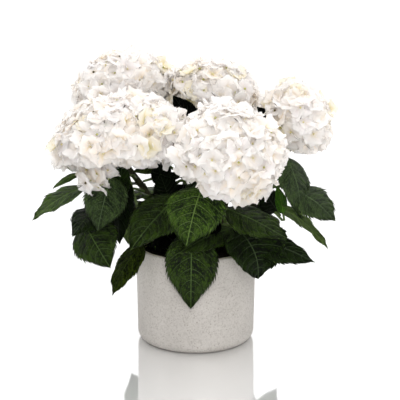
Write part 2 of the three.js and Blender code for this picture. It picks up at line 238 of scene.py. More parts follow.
class Nodes:
    def __init__(self, name):
        self.m = bpy.data.materials.new(name)
        self.m.use_nodes = True
        self.t = self.m.node_tree
        self.p = self.t.nodes["Principled BSDF"]
        self.out = self.t.nodes["Material Output"]

    def new(self, kind, **props):
        n = self.t.nodes.new(kind)
        for k, v in props.items():
            setattr(n, k, v)
        return n

    def link(self, a, b):
        self.t.links.new(a, b)

    def set(self, **values):
        for k, v in values.items():
            self.p.inputs[k.replace("_", " ")].default_value = v

    def pattern(self):
        return self.new("ShaderNodeUVMap", uv_map="pattern").outputs[0]

    def obj(self):
        return self.new("ShaderNodeTexCoord").outputs["Object"]

    def scaled(self, vec, scale, offset=(0, 0, 0)):
        n = self.new("ShaderNodeMapping")
        n.inputs["Scale"].default_value = scale
        n.inputs["Location"].default_value = offset
        self.link(vec, n.inputs["Vector"])
        return n.outputs[0]

    def noise(self, vec, scale, detail=3.0, rough=0.55, distort=0.0):
        n = self.new("ShaderNodeTexNoise")
        n.inputs["Scale"].default_value = scale
        n.inputs["Detail"].default_value = detail
        n.inputs["Roughness"].default_value = rough
        n.inputs["Distortion"].default_value = distort
        self.link(vec, n.inputs["Vector"])
        return n.outputs["Fac"]

    def voronoi(self, vec, scale, feature="F1", rand=1.0):
        n = self.new("ShaderNodeTexVoronoi", feature=feature)
        n.inputs["Scale"].default_value = scale
        n.inputs["Randomness"].default_value = rand
        self.link(vec, n.inputs["Vector"])
        return n.outputs["Distance"]

    def ramp(self, fac, stops, interp="LINEAR"):
        n = self.new("ShaderNodeValToRGB")
        n.color_ramp.interpolation = interp
        e = n.color_ramp.elements
        while len(e) < len(stops):
            e.new(0.5)
        for el, (pos, col) in zip(e, stops):
            el.position = pos
            el.color = col if len(col) == 4 else (*col, 1)
        self.link(fac, n.inputs["Fac"])
        return n.outputs["Color"]

    def mix(self, fac, a, b, mode="MIX"):
        n = self.new("ShaderNodeMix", data_type="RGBA", blend_type=mode)
        for value, sock in ((fac, n.inputs[0]), (a, n.inputs[6]), (b, n.inputs[7])):
            if hasattr(value, "is_output"):
                self.link(value, sock)
            else:
                sock.default_value = value
        return n.outputs[2]

    def math(self, op, a, b=None, c=None, clamp=False):
        n = self.new("ShaderNodeMath", operation=op, use_clamp=clamp)
        for i, value in enumerate((a, b, c)):
            if value is None:
                continue
            if hasattr(value, "is_output"):
                self.link(value, n.inputs[i])
            else:
                n.inputs[i].default_value = value
        return n.outputs[0]

    def bump(self, height, strength, distance):
        n = self.new("ShaderNodeBump")
        n.inputs["Strength"].default_value = strength
        n.inputs["Distance"].default_value = distance
        self.link(height, n.inputs["Height"])
        self.link(n.outputs["Normal"], self.p.inputs["Normal"])
        return n.outputs["Normal"]

    def base(self, socket):
        self.link(socket, self.p.inputs["Base Color"])


def leaf_skin(name, deep, light, rough, under=False, shine=0.15):
    """Blade of a leaf. The pattern's first axis runs from base to tip, its second across, with the midrib at 0.5."""
    k = Nodes(name)
    uv = k.pattern()
    sep = k.new("ShaderNodeSeparateXYZ")
    k.link(uv, sep.inputs[0])
    across = k.math("ABSOLUTE", k.math("MULTIPLY_ADD", sep.outputs[1], 2.0, -1.0))
    cell = k.math("FRACT", k.math("MULTIPLY_ADD", sep.outputs[0], ROWS / VEIN_ROWS, 5.0 - VEIN_ROW0 / VEIN_ROWS + 0.5))
    cell = k.math("FRACT", k.math("ADD", cell, 0.5))
    near = k.math("ABSOLUTE", k.math("SUBTRACT", cell, 0.5))            # 0.5 on a side vein, 0 between two
    web = k.voronoi(k.scaled(uv, (30, 17, 1)), 1.0, "DISTANCE_TO_EDGE")
    fine = k.voronoi(k.scaled(uv, (76, 48, 1)), 1.0, "DISTANCE_TO_EDGE")
    cloud = k.noise(k.scaled(uv, (5, 4, 1), (3.1, 1.7, 0)), 1.0, 4.0, 0.6)
    # random mottling from the cloud noise, plus painted shade and light of the quilting: each areole of the web is
    # painted lighter in its middle and darker at its edges, where the bump sinks
    mottle_and_painted_quilting = k.math("MULTIPLY_ADD", k.ramp(web, [(0.0, (0, 0, 0)), (0.28, (1, 1, 1))]), 0.34, cloud)
    dark = tuple(c * 0.45 for c in deep[:3]) + (1,)
    lush = tuple(c * 1.45 for c in light[:3]) + (1,)
    tone = k.ramp(mottle_and_painted_quilting, [(0.40, dark), (0.52, deep), (0.74, light), (0.92, lush)])
    pale = tuple(min(1.0, c * (1.35 if under else 2.1) + 0.006) for c in light[:3]) + (1,)
    # painted shade: the colour darkens towards each side vein, in the furrows that the blade's puckers leave there
    painted_furrow_shade = k.ramp(near, [(0.10, (1, 1, 1)), (0.36, (0.84, 0.84, 0.84)), (0.46, (0.5, 0.5, 0.5))])
    tone = k.mix(1.0, tone, painted_furrow_shade, "MULTIPLY")
    ridge = k.ramp(near, [(0.475, (0, 0, 0)), (0.5, (1, 1, 1))])
    tone = k.mix(k.math("MULTIPLY", ridge, 0.25), tone, pale)
    edge = k.ramp(across, [(0.93, (0, 0, 0)), (1.0, (1, 1, 1))])
    tone = k.mix(k.math("MULTIPLY", edge, 0.3), tone, pale)
    k.base(tone)
    k.set(Roughness=rough)
    k.p.inputs["Specular IOR Level"].default_value = 0.12 if under else shine
    h = k.math("ADD", k.math("MULTIPLY", k.ramp(web, [(0, (0, 0, 0)), (0.3, (1, 1, 1))]), 0.8),
               k.math("MULTIPLY", k.ramp(fine, [(0, (0, 0, 0)), (0.3, (1, 1, 1))]), 0.35))
    k.bump(h, 0.9, -0.0016 if under else 0.0016)
    return k.m


def petal_skin(name, heart, mid, rim, glow=0.52):
    """A sepal: its heart to its rim runs along the pattern's second axis."""
    k = Nodes(name)
    uv = k.pattern()
    sep = k.new("ShaderNodeSeparateXYZ")
    k.link(uv, sep.inputs[0])
    cloud = k.noise(k.scaled(uv, (3, 3, 1)), 1.0, 3.0)
    run = k.math("ADD", sep.outputs[1], k.math("MULTIPLY_ADD", cloud, 0.24, -0.12))
    col = k.ramp(run, [(0.05, heart), (0.30, mid), (0.62, rim), (1.0, rim)])
    lines = k.noise(k.scaled(uv, (26, 1.6, 1)), 1.0, 2.0, 0.6, 0.4)
    vein = k.ramp(lines, [(0.42, (0, 0, 0)), (0.62, (1, 1, 1))])
    col = k.mix(k.math("MULTIPLY", vein, 0.10), col, mid)
    k.base(col)
    k.set(Roughness=0.62)
    k.p.inputs["Specular IOR Level"].default_value = 0.25
    nrm = k.bump(k.math("ADD", lines, k.math("MULTIPLY", cloud, 0.5)), 0.35, 0.0006)
    tr = k.new("ShaderNodeBsdfTranslucent")
    k.link(col, tr.inputs["Color"])
    k.link(nrm, tr.inputs["Normal"])
    mx = k.new("ShaderNodeMixShader")
    mx.inputs[0].default_value = glow
    k.link(k.p.outputs[0], mx.inputs[1])
    k.link(tr.outputs[0], mx.inputs[2])
    k.link(mx.outputs[0], k.out.inputs["Surface"])
    return k.m


def plain_skin(name, a, b, rough, scale=(4, 8, 1), bump=0.4, dist=0.0004, spec=0.4):
    k = Nodes(name)
    n = k.noise(k.scaled(k.pattern(), scale), 1.0, 4.0, 0.6)
    k.base(k.ramp(n, [(0.32, a), (0.68, b)]))
    k.set(Roughness=rough)
    k.p.inputs["Specular IOR Level"].default_value = spec
    k.bump(n, bump, dist)
    return k.m


def stoneware(name):
    k = Nodes(name)
    p = k.obj()
    cloud = k.noise(p, 26.0, 5.0, 0.6)
    base = k.ramp(cloud, [(0.3, srgb(184, 179, 173)), (0.7, srgb(196, 191, 185))])
    grain = k.noise(p, 420.0, 3.0, 0.7)
    base = k.mix(k.math("MULTIPLY", k.ramp(grain, [(0.35, (1, 1, 1)), (0.52, (0, 0, 0))]), 0.50), base, srgb(150, 143, 136))
    dots = k.voronoi(p, 330.0, "F1")
    pick = k.noise(p, 90.0, 1.0)
    dark = k.math("MULTIPLY", k.ramp(dots, [(0.13, (1, 1, 1)), (0.24, (0, 0, 0))]), k.ramp(pick, [(0.38, (0, 0, 0)), (0.50, (1, 1, 1))]))
    base = k.mix(k.math("MULTIPLY", dark, 0.60), base, srgb(104, 92, 80))
    big = k.voronoi(k.scaled(p, (1, 1, 1), (0.4, 0.2, 0.7)), 95.0, "F1")
    pick2 = k.noise(k.scaled(p, (1, 1, 1), (1.3, 0, 0)), 40.0, 1.0)
    dark2 = k.math("MULTIPLY", k.ramp(big, [(0.07, (1, 1, 1)), (0.12, (0, 0, 0))]), k.ramp(pick2, [(0.5, (0, 0, 0)), (0.55, (1, 1, 1))]))
    base = k.mix(k.math("MULTIPLY", dark2, 0.5), base, srgb(112, 98, 84))
    k.base(base)
    k.set(Roughness=0.62)
    k.p.inputs["Specular IOR Level"].default_value = 0.35
    k.bump(k.math("ADD", k.math("MULTIPLY", grain, 0.6), k.noise(p, 60.0, 3.0)), 0.35, 0.0006)
    return k.m


def earthy(name, a, b, rough, scale, bump, dist):
    k = Nodes(name)
    p = k.obj()
    n = k.noise(p, scale, 6.0, 0.65)
    k.base(k.ramp(n, [(0.35, a), (0.7, b)]))
    k.set(Roughness=rough)
    k.p.inputs["Specular IOR Level"].default_value = 0.2
    k.bump(n, bump, dist)
    return k.m


LEAF = {
    # painted_shade: the leaf colour darkened for leaves that sit in shade (painted shade)
    "painted_shade": leaf_skin("leaf_painted_shade", srgb(3, 7, 1), srgb(14, 25, 5), 0.34, shine=0.07),
    # painted_deep_shade: a near-black leaf colour, painted deep shade for leaves in the plant's dark middle
    "painted_deep_shade": leaf_skin("leaf_painted_deep_shade", srgb(1, 1, 1), srgb(3, 6, 2), 0.6, shine=0.03),
    "deep": leaf_skin("leaf_deep", srgb(5, 12, 2), srgb(27, 43, 8), 0.30, shine=0.08),
    "olive": leaf_skin("leaf_olive", srgb(12, 20, 1), srgb(50, 64, 10), 0.5, shine=0.02),
    # painted_sheen: a greyed green that stands in for the sheen on lit leaves (painted sheen)
    "painted_sheen": leaf_skin("leaf_painted_sheen", srgb(24, 38, 15), srgb(62, 80, 42), 0.34),
    "mid": leaf_skin("leaf_mid", srgb(10, 21, 3), srgb(48, 68, 16), 0.28, shine=0.16),
    "fresh": leaf_skin("leaf_fresh", srgb(20, 38, 7), srgb(69, 95, 30), 0.30, shine=0.17),
    "vivid": leaf_skin("leaf_vivid", srgb(38, 78, 8), srgb(70, 122, 22), 0.40),
    "young": leaf_skin("leaf_young", srgb(48, 70, 14), srgb(98, 122, 42), 0.42),
    "under": leaf_skin("leaf_underside", srgb(66, 88, 36), srgb(94, 116, 56), 0.6, under=True),
}
VEIN = {
    # painted_shade veins: vein colour darkened for leaves in shade (painted shade)
    "painted_shade": plain_skin("vein_painted_shade", srgb(24, 36, 13), srgb(34, 48, 20), 0.5),
    # painted_deep_shade veins: near black (painted deep shade)
    "painted_deep_shade": plain_skin("vein_painted_deep_shade", srgb(10, 16, 6), srgb(16, 24, 10), 0.5),
    "deep": plain_skin("vein_deep", srgb(44, 62, 27), srgb(58, 78, 37), 0.5),
    "olive": plain_skin("vein_olive", srgb(40, 54, 14), srgb(54, 70, 22), 0.5, spec=0.1),
    # painted_sheen veins: greyed the same way (painted sheen)
    "painted_sheen": plain_skin("vein_painted_sheen", srgb(60, 78, 45), srgb(76, 95, 57), 0.5),
    "mid": plain_skin("vein_mid", srgb(60, 84, 34), srgb(82, 106, 48), 0.5),
    "fresh": plain_skin("vein_fresh", srgb(90, 118, 52), srgb(112, 138, 66), 0.5),
    "vivid": plain_skin("vein_vivid", srgb(110, 152, 50), srgb(132, 172, 66), 0.5),
    "young": plain_skin("vein_young", srgb(112, 134, 62), srgb(134, 154, 78), 0.5),
}
PETAL = [
    petal_skin("petal_white", srgb(241, 232, 212), srgb(252, 248, 245), srgb(253, 251, 249)),
    petal_skin("petal_cream", srgb(238, 224, 188), srgb(252, 244, 233), srgb(253, 249, 245)),
    petal_skin("petal_cool", srgb(238, 230, 220), srgb(251, 247, 246), srgb(253, 251, 250)),
    petal_skin("petal_green", srgb(214, 208, 132), srgb(243, 234, 203), srgb(248, 243, 231)),
]
EYE = [
    plain_skin("flower_eye", srgb(206, 196, 138), srgb(226, 216, 164), 0.6, (2, 2, 1)),
    plain_skin("flower_eye_green", srgb(160, 164, 84), srgb(194, 192, 116), 0.6, (2, 2, 1)),
    # painted shade: a dark brown heart that stands in for the shaded hole at a floret's centre
    plain_skin("flower_eye_painted_shade", srgb(58, 50, 22), srgb(96, 84, 40), 0.6, (2, 2, 1)),
]
STALK = plain_skin("leaf_stalk", srgb(70, 88, 44), srgb(98, 118, 60), 0.5, (3, 10, 1))
PEDICEL = plain_skin("flower_stalk", srgb(148, 160, 104), srgb(184, 190, 140), 0.6, (3, 10, 1))
BARK = earthy("cane_bark", srgb(26, 28, 14), srgb(62, 62, 36), 0.75, 260.0, 0.7, 0.0008)
BUD = plain_skin("bud_scale", srgb(88, 106, 48), srgb(126, 140, 70), 0.55, (4, 4, 1))
POT_SKIN = stoneware("stoneware")
# the lip's top: a warm beige lighter than the glaze, painted light on a lip that the leaves shade
RIM_PAINTED_LIGHT = earthy("stoneware_rim_painted_light", srgb(204, 194, 178), srgb(228, 220, 206), 0.8, 300.0, 0.4, 0.0004)
SOIL_SKIN = earthy("potting_mix", srgb(14, 11, 9), srgb(46, 36, 28), 0.95, 170.0, 1.0, 0.002)


# --------------------------------------------------------- unevenness of heads
def lumps(d, seed):
    s = seed * 1.7
    x, y, z = d[..., 0], d[..., 1], d[..., 2]
    return (0.42 * np.sin(3.1 * x + 2.3 * y + s) + 0.33 * np.sin(4.7 * y - 3.9 * z + 2.1 * s)
            + 0.25 * np.sin(6.3 * z + 5.1 * x - 1.3 * s))


def euler_xy(rx, ry):
    cx, sx, cy, sy = math.cos(rx), math.sin(rx), math.cos(ry), math.sin(ry)
    return np.array([[1, 0, 0], [0, cx, -sx], [0, sx, cx]]) @ np.array([[cy, 0, sy], [0, 1, 0], [-sy, 0, cy]])


HEADS = {
    "front_left": dict(at=V(-99, -40, 278), half=V(82, 71, 59), tilt=(10, -8), seed=2, stalk=V(-99, -40, 252), hollow=[((0.1, -0.3, -0.95), 42.0, 0.20), ((0.8, -0.2, -0.5), -6.0, 0.50), ((0.90, -0.45, 0.0), -12.0, 0.55), ((-0.72, -0.62, -0.35), 24.0, 0.80), ((0.87, 0.05, 0.49), 20.0, 0.80), ((-0.95, -0.1, 0.3), 3.0, 0.4)], lobe=V(-0.42, -0.33, -0.85), inset=0.5,
                       bulges=[(V(-0.2, -0.25, -1), 0.155, 0.07), (V(-1, -0.1, -0.3), 0.07, 0.12), (V(0.75, -0.3, 0.5), 0.08, 0.14)],
                       mix=(0.56, 0.24, 0.17, 0.03)),
    "front_right": dict(at=V(39, -97, 274), half=V(72, 66, 69), tilt=(34, 6), seed=5, stalk=V(42, -88, 238), hollow=[((-0.5, 0.1, -0.85), 16.0, 0.34), ((-0.71, 0.02, 0.71), 22.0, 0.72), ((0.64, 0.17, 0.75), 14.0, 0.78), ((0.1, -0.25, -0.96), 3.5, 0.2), ((0.18, -0.48, -0.86), 12.0, 0.85)], inset=3.5,
                        bulges=[(V(0.8, -0.5, -0.35), 0.06, 0.12), (V(-0.6, 0.1, 0.8), 0.05, 0.15)],
                        mix=(0.62, 0.24, 0.12, 0.02)),
    "back": dict(at=V(22, 72, 317), half=V(60, 59, 49), tilt=(-10, 4), seed=7, stalk=V(14, 66, 285), inset=5.0, hollow=[((0, 0, -1), 4.0, 0.02)],
                 bulges=[(V(-0.8, 0.1, 0.4), 0.07, 0.14), (V(0.9, 0.1, -0.1), 0.06, 0.12)],
                 mix=(0.46, 0.28, 0.14, 0.12)),
    "right": dict(at=V(133, 12, 298), half=V(51, 53, 46), tilt=(6, 22), seed=9, stalk=V(128, 10, 266), inset=6.5, hollow=[((0.55, 0, -0.83), 2.0, 0.02)],
                  bulges=[(V(0.8, -0.4, -0.5), 0.10, 0.10), (V(-0.5, -0.3, 0.9), 0.05, 0.14)],
                  mix=(0.42, 0.30, 0.12, 0.16)),
    "back_left": dict(at=V(-101, 91, 324), half=V(64, 60, 47), tilt=(-12, -8), seed=12, stalk=V(-101, 86, 292), inset=3.5, hollow=[((-0.6, -0.3, -0.7), -5.0, 0.02), ((0.9, -0.2, -0.2), -6.0, 0.45), ((-0.97, 0, 0.2), 5.0, 0.5)],
                      bulges=[(V(0.8, 0.1, 0.45), 0.09, 0.14), (V(-0.9, -0.2, -0.2), 0.05, 0.12)],
                      mix=(0.50, 0.26, 0.18, 0.06)),
}


def head_point(h, d, inward=0.0):
    """The head's skin in direction d of its own frame, moved inward by that many millimetres."""
    d = unit(d)
    r = 1 + 0.04 * lumps(d, h["seed"])
    for way, swell, wide in h["bulges"]:
        r = r + swell * np.exp((d @ unit(way) - 1) / wide)
    under = np.where(d[..., 2] < -0.35, 1 - 0.22 * (-0.35 - d[..., 2]), 1.0)
    loc = np.stack([d[..., 0] * (h["half"][0] * r - inward), d[..., 1] * (h["half"][1] * r - inward),
                    d[..., 2] * (h["half"][2] * r * under - inward)], -1)
    return loc @ euler_xy(*np.radians(h["tilt"])).T + h["at"]


def trim(h, d):
    """How far inside the head's skin a floret sits: deeper underneath, but not in a hanging lobe."""
    turn = euler_xy(*np.radians(h["tilt"])).T
    lobe = np.zeros(len(d))
    if "lobe" in h:
        lobe = np.minimum(1.0, 1.8 * np.exp((d @ (turn @ unit(h["lobe"])) - 1) / 0.036))
    inset = np.full(len(d), h["inset"])
    for way, depth, start in h["hollow"]:
        inset = inset + depth * np.clip((d @ (turn @ unit(V(*way))) - start) / 0.5, 0, 1) * (1 - lobe)
    return np.minimum(inset, 0.62 * h["half"].min())


def head_normal(h, d, inward=0.0):
    a = unit(np.cross(d, V(0.3, 0.2, 0.93)))
    b = np.cross(d, a)
    e = 0.03
    p1, p2 = head_point(h, d + a * e, inward), head_point(h, d - a * e, inward)
    p3, p4 = head_point(h, d + b * e, inward), head_point(h, d - b * e, inward)
    n = unit(np.cross(p1 - p2, p3 - p4))
    out = head_point(h, d, inward) - h["at"]
    return np.where((n * out).sum(-1, keepdims=True) < 0, -n, n)


# -------------------------------------------------------------------- florets
SEPAL_S = np.array([0.03, 0.18, 0.36, 0.54, 0.71, 0.86, 0.985])
SEPAL_T = np.array([-1.0, -0.66, -0.33, 0.0, 0.33, 0.66, 1.0])
SS, TT = np.meshgrid(SEPAL_S, SEPAL_T, indexing="ij")
SEPAL_W = SS ** 0.72 * (1 - SS ** 3.2) ** 0.58
SEPAL_W = SEPAL_W / SEPAL_W.max()
SEPAL_Q = grid_quads(len(SEPAL_S), len(SEPAL_T))
EYE_V = unit(np.array([[1, 0, 0], [-1, 0, 0], [0, 1, 0], [0, -1, 0], [0, 0, 1], [1, 1, .7], [-1, 1, .7], [1, -1, .7], [-1, -1, .7], [0, 0, -1]]))


def floret(soup, rng, centre, normal, radius, petal, eye, sepals, openness):
    n = unit(normal)
    a = unit(np.cross(n, unit(V(*rng.normal(size=3)))))
    b = np.cross(n, a)
    turn = rng.uniform(0, 2 * math.pi)
    for i in range(sepals):
        ang = turn + 2 * math.pi * (i + rng.uniform(-0.09, 0.09)) / sepals
        d = a * math.cos(ang) + b * math.sin(ang)
        e = -a * math.sin(ang) + b * math.cos(ang)
        L = radius * rng.uniform(0.88, 1.08)
        W = radius * (0.76 if sepals == 4 else 0.64) * rng.uniform(0.90, 1.12)
        rise, fall = openness * rng.uniform(0.7, 1.3), rng.uniform(0.10, 0.55)
        ph1, ph2, ph3 = rng.uniform(0, 2 * math.pi, 3)
        notch = 1 + 0.07 * np.sin(17 * SS + ph3) * (np.abs(TT) > 0.9)
        along = L * SS * (1 - 0.16 * TT ** 2 * SS) * (1 + 0.05 * np.sin(9 * TT + ph2) * SS ** 4)
        across = W * SEPAL_W * TT * notch
        z = L * (rise * SS - fall * SS ** 2.2)
        z = z + rng.uniform(-0.12, 0.38) * W * (SEPAL_W * TT) ** 2
        z = z + L * 0.09 * np.abs(TT) ** 1.6 * np.sin(9.6 * SS + ph1 + 1.9 * np.sign(TT)) * SS ** 0.6
        z = z + L * 0.045 * np.sin(5.0 * TT + ph2) * SS + (i % 2) * 0.7 * SS ** 0.5
        tw = rng.uniform(-0.34, 0.34)
        z = z + tw * across * SS
        p = centre + along[..., None] * d + across[..., None] * e + z[..., None] * n
        uv = np.stack([TT * 0.5 * SEPAL_W + 0.5, SS], -1)
        soup.add(p, SEPAL_Q[:, ::-1], None, petal, uv)
    r = rng.uniform(1.3, 1.9)
    soup.add(EYE_V * r + centre + n * (0.5 * r + 0.6), None,
             [[0, 5, 4], [5, 2, 4], [2, 6, 4], [6, 1, 4], [1, 8, 4], [8, 3, 4], [3, 7, 4], [7, 0, 4],
              [5, 0, 2], [6, 2, 1], [8, 1, 3], [7, 3, 0], [9, 2, 0], [9, 1, 2], [9, 3, 1], [9, 0, 3]],
             eye, EYE_V[:, :2] * 0.5 + 0.5)


def scatter(h, rng, spacing, inward, tries, low):
    """Points spread over a head, none nearer to another than spacing."""
    d = unit(rng.normal(size=(tries, 3)))
    d = d[d[:, 2] > low]
    p = head_point(h, d, inward + trim(h, d))
    keep = []
    kp = np.zeros((0, 3))
    for i in range(len(d)):
        if len(kp) == 0 or np.min(np.sum((kp - p[i]) ** 2, 1)) > spacing ** 2:
            keep.append(i)
            kp = np.vstack([kp, p[i]])
    return d[keep], p[keep]


def blossom(name, h, stalks):
    rng = np.random.default_rng(100 + h["seed"])
    soup = Soup()
    count = 0
    for inward, spacing, low, reach in ((0.0, 12.6, -0.95, (14.6, 18.6)), (9.0, 16.0, -0.95, (15.5, 19.0))):
        dirs, pts = scatter(h, rng, spacing, inward, 9000, low)
        nrm = head_normal(h, dirs, inward + 8)
        low_share = np.clip(-nrm[:, 2] * 1.6, 0, 1)[:, None]
        nrm = unit(nrm + low_share * unit((pts - h["at"]) * V(1, 1, 0.15)) * 1.1)
        for d, p, n in zip(dirs, pts, nrm):
            tilt = unit(n + rng.normal(size=3) * 0.24)
            kind = rng.choice(4, p=h["mix"])
            petal = PETAL[kind]
            pick = rng.random()
            # a few florets get the painted-shade heart
            eye = EYE[1] if kind == 3 or pick < 0.25 else EYE[2] if pick > 0.93 else EYE[0]
            sepals = 5 if rng.random() < 0.22 else 4
            radius = rng.uniform(*reach) * (0.86 if kind == 3 else 1.0)
            floret(soup, rng, p - n * rng.uniform(0, 5.5), tilt, radius, petal, eye, sepals, rng.uniform(0.15, 0.60) + (0.35 if kind == 3 else 0))
            count += 1
            # its stalk, back to the corymb's branches
            hub = h["stalk"] + (p - h["stalk"]) * 0.32 + rng.normal(size=3) * 2
            mid = (p + hub) / 2 + rng.normal(size=3) * 2.5
            c, _ = curve_points([hub, mid, p - n * 2], 4)
            tube(stalks, PEDICEL, c, np.linspace(1.0, 0.6, 4), 4)
        if inward < 5:
            for k in range(9):
                g = head_point(h, unit(rng.normal(size=3) + V(0, 0, 0.6)), h["half"].min() * 0.62)
                c, _ = curve_points([h["stalk"], (h["stalk"] + g) / 2 + rng.normal(size=3) * 3, g], 6)
                tube(stalks, PEDICEL, c, np.linspace(2.0, 1.2, 6), 6)
    ob = soup.build("blossom_" + name)
    print("blossom", name, count, "florets", len(ob.data.polygons), "faces")
    return ob


# --------------------------------------------------------------------- leaves
def outline(u):
    m = OUT_A / (OUT_A + OUT_B)
    k = m ** OUT_A * (1 - m) ** OUT_B
    u = np.clip(u, 0, 1)
    return u ** OUT_A * (1 - u) ** OUT_B / k


class Leaf:
    def __init__(self, base, tip, width, up, arch=7.0, fold=-6.0, cup=0.06, twist=0.0, droop=0.0, wave=1.5, pucker=1.0, curl=0.0, skew=0.0, seed=0):
        self.B, self.T, self.W = V(*base), V(*tip), width
        self.rng = np.random.default_rng(1000 + seed)
        d = unit(self.T - self.B)
        self.up = unit(V(*up) - d * (V(*up) @ d))
        self.len = np.linalg.norm(self.T - self.B)
        self.Q = (self.B + self.T) / 2 + 2 * arch * self.up + np.cross(d, self.up) * skew
        self.fold, self.cup, self.twist, self.droop, self.curl = math.radians(fold), cup, math.radians(twist), droop, curl
        self.wave, self.pucker = wave, pucker
        self.ph = self.rng.uniform(0, 2 * math.pi, 6)
        self.asym = self.rng.uniform(-0.06, 0.06)

    def point(self, r, v):
        """Place on the blade: r from base to tip along a side vein's own row, v across, -1 to 1."""
        r, v = np.broadcast_arrays(np.asarray(r, float), np.asarray(v, float))
        u = r + VEIN_SWEEP * r ** 0.7 * (1 - r) / 0.316 * np.abs(v) ** VEIN_POW
        w = 1 - u
        U = u[..., None]
        C = (1 - U) ** 2 * self.B + 2 * U * (1 - U) * self.Q + U ** 2 * self.T
        tan = unit(2 * (1 - U) * (self.Q - self.B) + 2 * U * (self.T - self.Q))
        side = unit(np.cross(tan, self.up))
        nor = np.cross(side, tan)
        ang = self.twist * (u - 0.35)
        ca, sa = np.cos(ang)[..., None], np.sin(ang)[..., None]
        side, nor = side * ca + nor * sa, nor * ca - side * sa
        C = C - nor * (self.droop * u ** 3)[..., None]
        h = np.maximum(self.W / 2 * outline(u) * (1 + self.asym * np.sign(v)), 0.16 + 1.0 * w)
        av = np.abs(v)
        size = self.W / 75
        x = h * v * np.cos(self.fold)
        z = h * (np.sin(self.fold) * av - self.cup * v * v) + self.curl * h * av ** 3
        s = (r * ROWS - VEIN_ROW0) / VEIN_ROWS
        body = np.clip(4 * r * (1 - r) * 1.6, 0, 1)
        puff = (np.abs(np.sin(np.pi * s)) ** 0.85 - 0.5) * np.clip(av * 3, 0, 1) * (1 - 0.45 * av ** 4) * body
        uneven = 1 + 0.45 * np.sin(2.3 * np.floor(s) + self.ph[4] + 2.1 * (v > 0))
        z = z + self.pucker * size * (1.7 * uneven * puff + 0.9 * np.sin(np.pi * s) * np.sin(np.pi * 4.2 * av + self.ph[4] + 1.3 * np.floor(s)) * av * body)
        z = z + self.wave * size * av ** 1.8 * np.sin(2 * np.pi * 3.1 * u + self.ph[0] + (v > 0) * self.ph[1]) * body
        z = z + 0.8 * self.wave * size * av * np.sin(2 * np.pi * 1.3 * u + self.ph[2] + (v > 0) * self.ph[3]) * body
        z = z - 0.9 * size * np.exp(-(v / 0.07) ** 2) * body
        return C + side * x[..., None] + nor * z[..., None]

    def mesh(self, soup, tone, coarse=False):
        step, half = (3, 5) if coarse else (1, 9)
        r = np.arange(0, ROWS + 1, step) / ROWS
        c = np.linspace(0, 1, half + 1)[1:]
        v = np.concatenate([-c[::-1], [0.0], c])
        U, Vv = np.meshgrid(r, v, indexing="ij")
        P = self.point(U, Vv)
        N = unit(np.cross(np.gradient(P, axis=1), np.gradient(P, axis=0)))
        smooth = P.copy()
        # saw teeth that point to the tip, uneven in size
        k = np.arange(len(r)) % 3
        depth = np.array([-0.5, 0.15, 0.85])[k] * self.W * (0.020 if self.curl else 0.062) * np.clip((r - 0.05) * 9, 0, 1) * np.clip((1.0 - r) * 12, 0.1, 1)
        depth = depth * np.repeat(self.rng.uniform(0.5, 1.2, len(r) // 3 + 1), 3)[:len(r)]
        for j, sign in ((0, -1), (len(v) - 1, 1)):
            bulge = 0.02 * self.W * np.sin(self.rng.uniform(9, 14) * r + self.ph[5]) * 4 * r * (1 - r)
            tan = unit(np.gradient(P[:, j], axis=0))
            out = unit(P[:, j] - P[:, j - sign])
            P[:, j] += out * (depth + bulge)[:, None] + tan * (np.clip(depth, 0, None) * 0.9)[:, None]
        n, m = len(r), len(v)
        idx = np.arange(n * m).reshape(n, m)
        low = np.full((n, m), -1)
        inner = np.zeros((n, m), bool)
        inner[1:-1, 1:-1] = True
        low[inner] = n * m + np.arange(inner.sum())
        low[~inner] = idx[~inner]
        verts = np.vstack([P.reshape(-1, 3), (P - N * 0.5)[inner]])
        uv_top = np.stack([U, Vv * 0.5 + 0.5], -1)
        uv = np.vstack([uv_top.reshape(-1, 2), uv_top[inner]])
        q = grid_quads(n, m)
        up, down = soup.slot(LEAF[tone]), soup.slot(LEAF["under"])
        qb = low.ravel()[q][:, ::-1]
        soup.add(verts, np.vstack([q, qb]), None, None, uv, np.concatenate([np.full(len(q), up), np.full(len(qb), down)]))
        self.veins(soup, tone, smooth, N, half, step)

    def veins(self, soup, tone, P, N, half, step):
        """Midrib and side veins: slim ridges that lie on the blade's own rows."""
        size = self.W / 75
        runs = [(np.arange(0, len(P) - 1, 1 if step > 1 else 2), np.array([half]), 2.1, 0.7)]
        if step == 1:
            for k in range(6):
                for sign in (-1, 1):
                    runs.append((np.array([VEIN_ROW0 + k * VEIN_ROWS]), half + sign * np.arange(0, half), 0.95 * (1 - 0.07 * k), 0.30))
        for rows, cols, w0, w1 in runs:
            p, n = P[rows, cols], N[rows, cols]
            count = len(p)
            f = np.linspace(0, 1, count)
            wd = (np.interp(f, [0, 1], [w0, w1]) * size)[:, None]
            d = unit(np.gradient(p, axis=0))
            side = np.cross(n, d)
            ring = np.stack([p - side * wd / 2 + n * 0.12, p + n * (0.30 + 0.28 * wd), p + side * wd / 2 + n * 0.12,
                             p - n * (0.75 + 0.40 * wd)], 1)
            q = grid_quads(count, 4, True)
            ends = np.array([[3, 2, 1, 0], [4 * count - 4, 4 * count - 3, 4 * count - 2, 4 * count - 1]])
            uvr = np.stack(np.broadcast_arrays(f[:, None], np.array([0.2, 0.5, 0.8, 0.5])[None, :]), -1).reshape(-1, 2)
            soup.add(ring.reshape(-1, 3), np.vstack([q[:, ::-1], ends[:, ::-1]]), None, VEIN[tone], uvr)

    def stalk(self, soup, root, r0=2.3, r1=1.5):
        start = self.point(0.0, 0.0)
        away = unit(self.point(0.0, 0.0) - self.point(0.06, 0.0))
        root = V(*root)
        gap = np.linalg.norm(root - start)
        c, _ = curve_points([self.point(0.03, 0.0), start, start + away * gap * 0.3, root + (start - root) * 0.25 + V(0, 0, gap * 0.06), root], 12)
        tube(soup, STALK, c, np.linspace(r1, r0, 12), 8)


